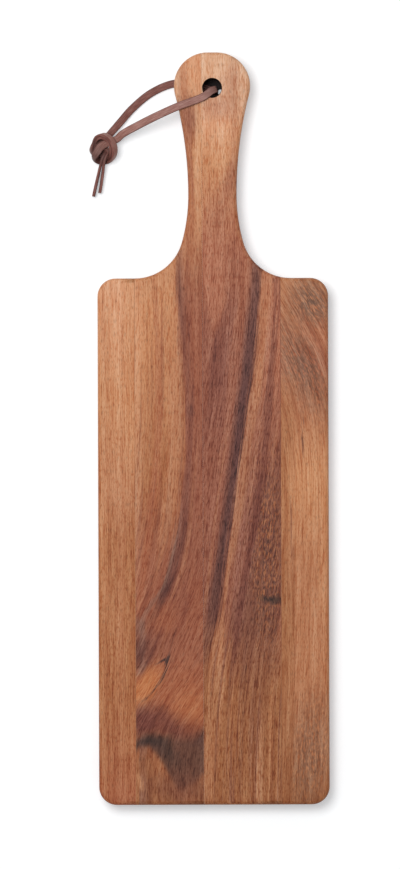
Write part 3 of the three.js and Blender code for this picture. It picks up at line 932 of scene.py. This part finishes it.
# %% The knot at the lower end of that stave
figure.patch(RUST, (-31, -116), (9, 9), 0.5)
figure.patch(SMOKE, (-46, -121), (3, 5), 0.45, soft=0.6)
figure.patch(VEIN, (-47.5, -137), (7, 10), 0.72, soft=0.8)
figure.patch(COPPER, (-14, -132), (13, 18), 0.6, soft=0.8)
figure.patch(FLAME, (-42, -158), (6.2, 14), 0.82, turn=-36, soft=0.6)
figure.patch(WINE, (-36, -134), (7, 9), 0.4, turn=-25)
figure.patch(RUST, (-17, -163), (12, 14), 0.7, soft=0.8)
figure.patch(FLAME, (-14, -170), (8, 9), 0.3, turn=-30)
figure.band(KNOT, [
    (-169, -46, 0.4, 0.3), (-165, -41.5, 0.4, 0.6), (-160, -37, 0.4, 0.8), (-153, -32, 0.5, 0.85),
    (-147, -29.6, 0.8, 0.95), (-142.5, -28.6, 1, 0.95), (-139.5, -28, 0.8, 0.9), (-136, -27, 0.5, 0.3),
    (-128, -25, 0.4, 0.25), (-120, -23, 0.4, 0),
], left=0.9, right=0.9)
figure.band(KNOT, [
    (-37, -144.5, 0.4, 0), (-33.5, -143, 0.5, 0.6), (-30.5, -141.4, 0.8, 0.9), (-29, -141, 0.8, 0.3),
    (-28, -141, 0.5, 0), (-20, -141, 0.5, 0),
], left=1, right=1, crosswise=True)
figure.band(WINE, [
    (-48, -178, 7.5, 1), (-40, -178, 8, 1), (-33, -178, 9, 0.85), (-24, -183, 6.5, 0.85),
    (-14, -186, 6, 0.55), (-6, -189, 6, 0.55),
], left=9, right=14, crosswise=True)
figure.band(KNOT, [
    (-48, -193, 3.6, 0.9), (-42, -190.5, 3.2, 0.85), (-36, -193, 6, 0.85), (-31, -196.5, 8.5, 0.8),
    (-27, -200, 12.5, 0.75), (-21, -204, 15.5, 0.75), (-13, -203, 14.5, 0.75), (-6, -196.5, 14, 0.8),
], left=7, right=9, crosswise=True)
figure.patch(SOOT, (-38, -190.5), (8, 3), 0.6)
figure.patch(SOOT, (-28.5, -197), (4, 9), 0.5, turn=35)
figure.patch(UMBER, (-42, -206), (8, 8), 0.5, soft=0.8)
figure.patch(GOLD, (-45.5, -216), (1.2, 5), 0.7, turn=15, soft=0.8)
figure.patch(COCOA, (-19, -220), (17, 9), 0.7)
finish(staves["inner_left_stave"], figure, grain=0.65, lines=0.2, length=6)

# %% [markdown]
# The inner right stave carries the hole. Its handle end is a pale wedge, and below the shoulders it is
# nearly all heartwood. Its fibres slant to the left on their way down, and the drift says by how much.

# %% Inner right stave: the handle's pale wedge and the heartwood
figure = Figure(
    "oiled_acacia_veined_heart", seed=3, slant=0.3,
    drift=[(-230, -36), (-150, -32), (-110, -25), (-50, -17), (0, -10), (50, -3), (100, 0), (230, 0)],
    ground=[
        (-230, UMBER), (-160, UMBER), (-110, HEART), (0, HEART), (55, HEART), (80, COPPER), (110, TAN),
        (162, GOLD), (187, SAPWOOD), (197, CREAM), (230, CREAM),
    ],
)
figure.band(COPPER, [
    (40, 13, 6, 0), (60, 14, 6, 0.3), (85, 13.5, 6, 0.7), (100, 12, 6.5, 0.65), (115, 11, 6.5, 0.3),
    (130, 11, 5.5, 0.05), (140, 11.5, 5.5, 0.15), (150, 12, 5.5, 0.45), (158, 13.5, 4, 0.45),
    (166, 15, 2.5, 0.3), (175, 16, 1.5, 0),
], left=4.5)
figure.patch(COPPER, (12, 155), (4.5, 13), 0.45, turn=-15)
figure.patch(COPPER, (3.5, 128), (6, 16), 0.55, turn=-10)
figure.patch(COPPER, (21, 101), (4, 10), 0.45)
# Painted shadow of the lace below the hole, over an oily stain in the wood
figure.patch(TAN, (4, 197), (10, 7), 0.6)
figure.patch(TAN, (12, 212), (6, 9), 0.45)
figure.band(HONEY, [(165, 14, 3, 0), (180, 16, 4.5, 0.4), (200, 18, 4.5, 0.4), (218, 16, 4, 0)], left=5)
figure.band(TAN, [
    (45, 3, 2, 0), (58, 2.5, 2.5, 0.3), (68, 2, 4, 0.6), (80, 1.5, 5.5, 0.7), (95, 0, 7, 0.5),
    (120, 0, 7, 0),
])
figure.band(HEART_SHADE, [
    (-20, 0, 5, 0), (15, 2, 6, 0.35), (40, 4, 6, 0.6), (60, 7, 5, 0.5), (75, 12, 4, 0.4), (88, 14, 3, 0),
])
figure.band(TAN, [
    (-50, 32, 10, 0), (-20, 34, 11, 0.35), (10, 37, 12, 0.5), (40, 39, 12, 0.85), (70, 41, 12, 0.95),
    (95, 42, 12, 0.95),
], left=4)
figure.band(HONEY, [
    (-230, -4, 3, 0.3), (-200, -3, 4, 0.4), (-175, 0, 5.5, 0.3), (-150, 2, 5, 0.5),
    (-130, 2.5, 3.5, 0.85), (-110, 5.2, 1.6, 0.6), (-90, 8, 1.8, 0.6), (-70, 12, 2.2, 0.55),
    (-50, 15.5, 3.3, 0.5), (-30, 18.5, 3.5, 0.45), (-10, 21, 3.5, 0.4), (10, 24, 3.5, 0.5),
    (30, 27, 3.5, 0.65), (50, 29.5, 3.5, 0.6), (70, 31.5, 3.5, 0.6), (95, 33, 4, 0.3),
])
figure.streaked(WINE, (2.6, 100), 0.3, below=50)
figure.streaked(HONEY, (2.1, 80), 0.3, below=-20)
figure.streaked(WINE, (1.8, 130), 0.6, below=-140)
figure.streaked(GOLD, (1.5, 150), 0.36, below=-140)

# %% [markdown]
# A vein is a growth ring that is darker than its neighbours. The long one here is nearly black and slants
# with the fibres. Short dashes of soot and flame give the dark wood beside it its flecked look.

# %% The dark wood right of the vein, and the vein itself
figure.band(COCOA, [
    (-210, 23, 4, 0), (-185, 24, 7, 0.1), (-160, 25, 10, 0.25), (-135, 26, 13, 0.5),
    (-115, 25, 13.5, 0.8), (-100, 28, 12, 0.8), (-75, 32.5, 10, 0.65), (-50, 33.5, 8.5, 0.65),
    (-25, 36, 5, 0.4), (0, 37, 4, 0.1), (30, 38.5, 2, 0),
], left=6)
figure.patch(HEART_SHADE, (23, -60), (6, 50), 0.45, turn=-8)
figure.patch(VEIN, (33, -65), (9, 55), 0.4, soft=0.8, through=figure.dashes((1.7, 30), 0.48, 0.62))
figure.patch(SOOT, (33, -80), (9, 50), 0.45, soft=0.8, through=figure.dashes((0.75, 3.2), 0.5, 0.65))
figure.patch(FLAME, (33, -75), (9, 55), 0.45, soft=0.8, through=figure.dashes((0.7, 2.8), 0.5, 0.64))
figure.band(WINE, [
    (-165, 11.5, 1.5, 0), (-150, 12, 1.5, 0.3), (-135, 13, 2, 0.5), (-115, 16, 2.4, 0.6),
    (-100, 18.5, 2.2, 0.6), (-80, 21.8, 2.2, 0.7), (-60, 25, 2.2, 0.75), (-40, 27.5, 2, 0.75),
    (-20, 30, 1.8, 0.7), (0, 32.5, 1.7, 0.65), (20, 34.6, 1.7, 0.6), (40, 36.2, 1.7, 0.6),
    (60, 37.6, 1.6, 0.55), (95, 39, 1.5, 0.4),
], left=2, right=2.5)
figure.band(VEIN, [
    (-150, -7.5, 2, 0.1), (-140, -5.5, 2.2, 0.25), (-125, -3, 3, 0.45), (-110, -0.6, 3.6, 0.8),
    (-90, 2.4, 3.4, 0.9), (-70, 5.8, 3.2, 0.93), (-50, 9, 3.2, 0.95), (-30, 12, 3.2, 1),
    (-10, 14.5, 3.3, 1), (10, 17, 3.3, 1), (30, 20, 3.3, 1), (50, 22.5, 3.2, 0.95), (70, 24.5, 3, 0.85),
    (90, 26.5, 3, 0.8), (100, 27, 2.8, 0.7), (112, 27.5, 2, 0.3),
], left=6, right=3)
figure.band(COCOA, [
    (-115, 12.5, 0.6, 0), (-130, 11, 0.6, 0.4), (-160, 9.5, 0.7, 0.5), (-200, 8, 0.6, 0.4),
    (-228, 7.5, 0.5, 0.1),
], left=1.2, right=1.2)
figure.band(COCOA, [
    (-125, 20.5, 0.6, 0), (-145, 19, 0.7, 0.4), (-175, 17.5, 0.7, 0.5), (-205, 16, 0.6, 0.4),
    (-228, 15.5, 0.5, 0.1),
], left=1.2, right=1.2)
figure.patch(WINE, (26, -195), (4, 32), 0.3)
figure.patch(SOOT, (36.5, -104.5), (4, 2.4), 0.8)
figure.patch(SOOT, (31, -103), (3, 1.8), 0.55)
figure.band(GOLD, [
    (-230, 26.5, 0.6, 0.2), (-215, 27, 0.6, 0.45), (-195, 28, 0.6, 0.45), (-180, 29, 0.6, 0),
], left=1.2, right=1.2)
# Painted shade on the wall of the hole
figure.shaded_bore(SOOT)
finish(staves["inner_right_stave"], figure, grain=0.9, lines=0.2, length=8)

# %% [markdown]
# The outer right stave is sapwood again. Grey mottling lies over both of its ends: short dashes, seen
# through soft patches. The fibres bend to the left at the upper end, and the patches are turned with
# them.

# %% Outer right stave: sapwood with grey mottling at both ends
figure = Figure(
    "oiled_acacia_sapwood_right", seed=4, slant=-0.35,
    drift=[(-230, -4), (-100, 0), (-15, 0), (20, -5), (55, -18), (91, -36)],
    ground=[
        (-230, UMBER), (-200, HONEY), (-150, HONEY), (-85, HONEY), (-40, GOLD), (-25, GOLD), (0, HONEY),
        (40, TAN), (91, HONEY),
    ],
)
figure.streaked(AMBER, (2.6, 120), 0.3)
figure.band(GOLD, [(-120, 67, 2, 0), (-90, 67, 3, 0.5), (-65, 67, 3, 0.4), (-40, 67, 2, 0)])
mottle = figure.dashes((0.75, 2.6), 0.25, 0.6)
figure.patch(ASH, (60, 77), (10, 13), 1, turn=35, through=mottle)
figure.patch(ASH, (53, 40), (11, 26), 0.82, turn=25, through=mottle)
figure.patch(ASH, (66, 15), (8, 20), 0.15, turn=20, through=mottle)
figure.patch(ASH, (58, -200), (13, 32), 0.65, turn=-10, soft=0.8, through=mottle)
figure.band(VEIN, [
    (-18, 54.8, 0.4, 0), (-12, 54.6, 0.5, 0.6), (3, 54.5, 0.5, 0.6), (8, 54.5, 0.4, 0),
], left=0.8, right=0.8)
figure.band(WINE, [
    (-82, 48.4, 0.4, 0), (-70, 48.2, 0.5, 0.6), (-50, 47.8, 0.5, 0.6), (-40, 47.6, 0.4, 0),
], left=0.8, right=0.8)
figure.band(UMBER, [
    (-230, 44, 5, 0.6), (-190, 44, 5, 0.75), (-150, 44, 4, 0.7), (-110, 44, 4.5, 0.85),
    (-60, 44, 3.5, 0.5), (-20, 44, 4, 0.6), (10, 46, 5, 0.5), (35, 46, 5, 0),
], right=8)
finish(staves["outer_right_stave"], figure, grain=0.65, lines=0.2, length=14)

# %% [markdown]
# ## Hardened glue
#
# The staves are joined with ordinary wood glue, clamped until it sets. What is left is a film as thin as
# two sheets of paper. It is half clear, so it takes its tone from the wood beside it: golden at the left,
# pale at the handle, light brown at the lower end and dark brown elsewhere. It also takes up dust from
# sanding, so a fine noise breaks it up.

# %% Glue lines
DUST_MM = 2.0
DARK_GLUE, DUSTY_GLUE = "#7a4636", "#8c5540"
# A lighter tone comes in along an axis: where it starts, where it is full, and the tone
GLUE_TINTS = [
    ("Y", -110, -140, "#9c6544"),
    ("X", -30, -45, "#b27a55"),
    ("Y", 75, 170, "#c8966f"),
]
material, node = new_material("hardened_wood_glue")
place = node("TexCoord", {}, "Object")
dust = node("TexNoise", {"Vector": place, "Scale": 1 / (DUST_MM * MM), "Detail": 3.0})
colour = node("Mix", {0: dust, 6: linear(DARK_GLUE), 7: linear(DUSTY_GLUE)}, 2, data_type="RGBA")
apart = node("SeparateXYZ", {0: place}).node.outputs
for axis, start, full, tone in GLUE_TINTS:
    share = node("MapRange", {0: apart[axis], 1: start * MM, 2: full * MM})
    colour = node("Mix", {0: share, 6: colour, 7: linear(tone)}, 2, data_type="RGBA")
shader = node("BsdfPrincipled", {"Base Color": colour, "Roughness": 0.6, "Specular IOR Level": 0.25})
node("OutputMaterial", {0: shader})
for film in films:
    film.data.materials.append(material)
print("glue on", len(films), "lines")

# %% [markdown]
# ## Cut leather
#
# The lace is cut from brown chrome-tanned hide. Its grain side is finished and has a dull sheen with fine
# creases along the strip, its flesh side is rougher and darker, and the knife leaves a dark burr at each
# corner, which painted shade on the rounded edge makes darker still. The mesh stores where a point lies
# across and along the strip, so all of this follows the lace through the knot. Deep inside the knot, and
# where the strip bends down into the hole, shade is painted into the colour, so the leather there is darker.

# %% The two sides and the cut edges of the leather
SHADE_MM = 9.0
GRAIN_DARK, GRAIN_LIGHT = "#8c5f54", "#a67a70"
FLESH = "#7c4c42"
EDGE_BY_FLESH, EDGE_BY_GRAIN = "#653931", "#88544a"
FACE_BORDER = 0.1
EDGE_FROM, EDGE_TO = 0.9, 0.99
material, node = new_material("cut_brown_leather")
place = node("TexCoord", {}, "Object")
across = node("Attribute", {}, "Fac", attribute_name="across")
out = node("Attribute", {}, "Fac", attribute_name="out")
along = node("Attribute", {}, "Fac", attribute_name="along")
shade = node("TexNoise", {"Vector": place, "Scale": 1 / (SHADE_MM * MM), "Detail": 3.0})
colour = node("Mix", {0: shade, 6: linear(GRAIN_DARK), 7: linear(GRAIN_LIGHT)}, 2, data_type="RGBA")
flesh = node("MapRange", {0: out, 1: FACE_BORDER, 2: -FACE_BORDER})
colour = node("Mix", {0: flesh, 6: colour, 7: linear(FLESH)}, 2, data_type="RGBA")
wide = node("Math", {0: across}, operation="ABSOLUTE")
thick = node("Math", {0: out}, operation="ABSOLUTE")
cut = node("MapRange", {0: wide, 1: EDGE_FROM, 2: EDGE_TO})
layers = node("MapRange", {0: out, 1: -EDGE_FROM, 2: EDGE_FROM})
edge = node("Mix", {0: layers, 6: linear(EDGE_BY_FLESH), 7: linear(EDGE_BY_GRAIN)}, 2, data_type="RGBA")
colour = node("Mix", {0: cut, 6: colour, 7: edge}, 2, data_type="RGBA")

# %% Creases, burr and painted shade
CREASE_MM = 0.5
CREASE_LENGTH_MM = 5.0
DEEP_CREASE, PLAIN_LEATHER = 1.3, 0.8
BURR_AND_EDGE_SHADE = "#452a27"
BURR_AND_EDGE_SHADE_FROM, BURR_AND_EDGE_SHADE_TO, BURR_AND_EDGE_SHADE_STRENGTH = 0.8, 0.92, 0.75
# Tone of the painted shade deep in the knot and where the strip bends into the hole
PAINTED_LEATHER_SHADE = "#3f2724"
PAINTED_BEND_SHADE_MM, PAINTED_BEND_SHADE_STRENGTH = (20, 10), 0.5
# Two places deep inside the knot where shade is painted, each with the distances where the shade starts and
# is full
PAINTED_KNOT_SHADES = {(-2.5, -4.5, 4.5): (10, 4), (-2, 3.2, 2.5): (6.5, 3.5)}
PAINTED_KNOT_SHADE_STRENGTH = 0.7
strip = node("CombineXYZ", {0: across, 1: along, 2: out})
sizes = (LACE_WIDTH / 2 / CREASE_MM, 1 / CREASE_LENGTH_MM, 1)
strip = node("VectorMath", {0: strip, 1: sizes}, operation="MULTIPLY")
creases = node("TexNoise", {"Vector": strip, "Scale": 1.0, "Detail": 3.0})
deepening = node("MapRange", {0: creases, 1: 0.3, 2: 0.7, 3: DEEP_CREASE, 4: PLAIN_LEATHER})
colour = node("Gamma", {0: colour, 1: deepening})
# The dark line at each corner is partly the real burr and partly painted shade on the rounded edge
corner = node("Math", {0: wide, 1: thick}, operation="MINIMUM")
burr_and_edge_shade = node("MapRange", {0: corner, 1: BURR_AND_EDGE_SHADE_FROM, 2: BURR_AND_EDGE_SHADE_TO, 4: BURR_AND_EDGE_SHADE_STRENGTH},
            interpolation_type="SMOOTHSTEP")
colour = node("Mix", {0: burr_and_edge_shade, 6: colour, 7: linear(BURR_AND_EDGE_SHADE)}, 2, data_type="RGBA")
# Painted shade where the strip bends down into the hole, full over its first 10 mm and gone by 20 mm
pressed_thickness_or_painted_shade = node("MapRange", {0: along, 1: PAINTED_BEND_SHADE_MM[0], 2: PAINTED_BEND_SHADE_MM[1], 4: PAINTED_BEND_SHADE_STRENGTH})
for (x, y, z), (start, full) in PAINTED_KNOT_SHADES.items():
    middle = in_knot(x, y + HOLE_FROM_MIDDLE, z) * MM
    far = node("VectorMath", {0: place, 1: middle}, "Value", operation="DISTANCE")
    painted_knot_shade = node("MapRange", {0: far, 1: start * MM, 2: full * MM, 4: PAINTED_KNOT_SHADE_STRENGTH})
    pressed_thickness_or_painted_shade = node("Math", {0: painted_knot_shade, 1: pressed_thickness_or_painted_shade}, operation="MAXIMUM")
colour = node("Mix", {0: pressed_thickness_or_painted_shade, 6: colour, 7: linear(PAINTED_LEATHER_SHADE)}, 2, data_type="RGBA")

# %% Surface of the leather
PEBBLE_MM = 0.6
PEBBLE_DEPTH_MM = 0.12
pebbles = node("TexVoronoi", {"Vector": place, "Scale": 1 / (PEBBLE_MM * MM)}, feature="SMOOTH_F1")
height = node("Math", {0: pebbles, 1: creases})
bump = node("Bump", {"Strength": 0.6, "Distance": PEBBLE_DEPTH_MM * MM, "Height": height})
shader = node("BsdfPrincipled", {
    "Base Color": colour, "Roughness": 0.6, "Specular IOR Level": 0.35, "Normal": bump})
node("OutputMaterial", {0: shader})
for strand in strands.values():
    strand.data.materials.append(material)
print("leather on", len(strands), "strands")

# %% [markdown]
# ## Table and light
#
# The board lies on plain white card under a large soft lamp, high up and a little to the upper left, so
# its shadow is short. The card is lifted a little towards white where the camera sees it, directly or in
# a reflection, so it is bright in the picture, keeps the shadow and throws no extra light. Below the hole
# the card is painted dark, a painted shade like the bottom of a deep hole, with one painted glint at the
# right, where the lamp would reach it past the lace.

# %% Floor
FLOOR_HALF_M = 12.0
CARD_LIFT = 0.34
CARD_TONE, LIFT_TONE, PAINTED_HOLE_SHADE_TONE = "#e7e7e7", "#f6fbff", "#3a3434"
# Painted shade on the card below the hole and a small painted glint inside it: a middle, then the distances
# where the card is dark and where it is lit
PAINTED_HOLE_SHADE_AT, PAINTED_HOLE_SHADE_MM = (0, HOLE_FROM_MIDDLE, 0), (8, 9)
PAINTED_GLINT_AT, PAINTED_GLINT_MM = (5.3, HOLE_FROM_MIDDLE - 1.8, 0), (1.9, 1.4)
mesh = bmesh.new()
bmesh.ops.create_grid(mesh, x_segments=1, y_segments=1, size=FLOOR_HALF_M)
floor = linked("table_card", mesh)
floor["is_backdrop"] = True
material, node = new_material("white_card")
path = node("LightPath", {}).node.outputs
seen = node("Math", {0: path["Is Camera Ray"], 1: path["Is Glossy Ray"]}, operation="MAXIMUM")
seen = node("Math", {0: seen, 1: path["Is Transmission Ray"]}, operation="MAXIMUM")
place = node("NewGeometry", {}, "Position")
# The share of the card left lit: all but the painted shade, plus the painted glint inside it
painted_lit_share = 0.0
for spot, (dark, light) in ((PAINTED_HOLE_SHADE_AT, PAINTED_HOLE_SHADE_MM), (PAINTED_GLINT_AT, PAINTED_GLINT_MM)):
    far = node("VectorMath", {0: place, 1: Vector(spot) * MM}, "Value", operation="DISTANCE")
    painted_lit = node("MapRange", {0: far, 1: dark * MM, 2: light * MM})
    painted_lit_share = node("Math", {0: painted_lit, 1: painted_lit_share}, operation="MAXIMUM")
lifted = node("Math", {0: painted_lit_share, 1: CARD_LIFT}, operation="MULTIPLY")
strength = node("Math", {0: seen, 1: lifted}, operation="MULTIPLY")
lift = node("Emission", {"Color": linear(LIFT_TONE), "Strength": strength})
tone = node("Mix", {0: painted_lit_share, 6: linear(PAINTED_HOLE_SHADE_TONE), 7: linear(CARD_TONE)}, 2, data_type="RGBA")
card = node("BsdfDiffuse", {"Color": tone})
node("OutputMaterial", {0: node("AddShader", {0: card, 1: lift})})
floor.data.materials.append(material)
print("card of", 2 * FLOOR_HALF_M, "m under the board")

# %% Lamp and world
LAMP_AT = (-0.4, 0.38, 1.6)
LAMP_SIZE_M = 0.8
LAMP_POWER = 18.5
WORLD_STRENGTH = 0.39
data = bpy.data.lights.new("key_lamp", "AREA")
data.size = LAMP_SIZE_M
data.energy = LAMP_POWER
lamp = bpy.data.objects.new("key_lamp", data)
lamp.location = LAMP_AT
lamp.visible_camera = False
lamp.rotation_euler = (-Vector(LAMP_AT)).to_track_quat("-Z", "Y").to_euler()
bpy.context.scene.collection.objects.link(lamp)
world = bpy.data.worlds.new("studio")
bpy.context.scene.world = world
world.use_nodes = True
background = world.node_tree.nodes["Background"].inputs
background["Color"].default_value = (1, 1, 1, 1)
background["Strength"].default_value = WORLD_STRENGTH
bpy.context.scene.view_settings.view_transform = "Standard"
print("one lamp of", LAMP_POWER, "watts")

# %% [markdown]
# ## Sizes
#
# Last, the box of the solids and the box of the dressed part are worked out, and their sizes printed side by
# side.

boxes = {"cad": cad_box, "visual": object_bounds()}
{name: [list(corner) for corner in box] for name, box in boxes.items()}
print({name: [round(s / MM, 1) for s in high - low] for name, (low, high) in boxes.items()})
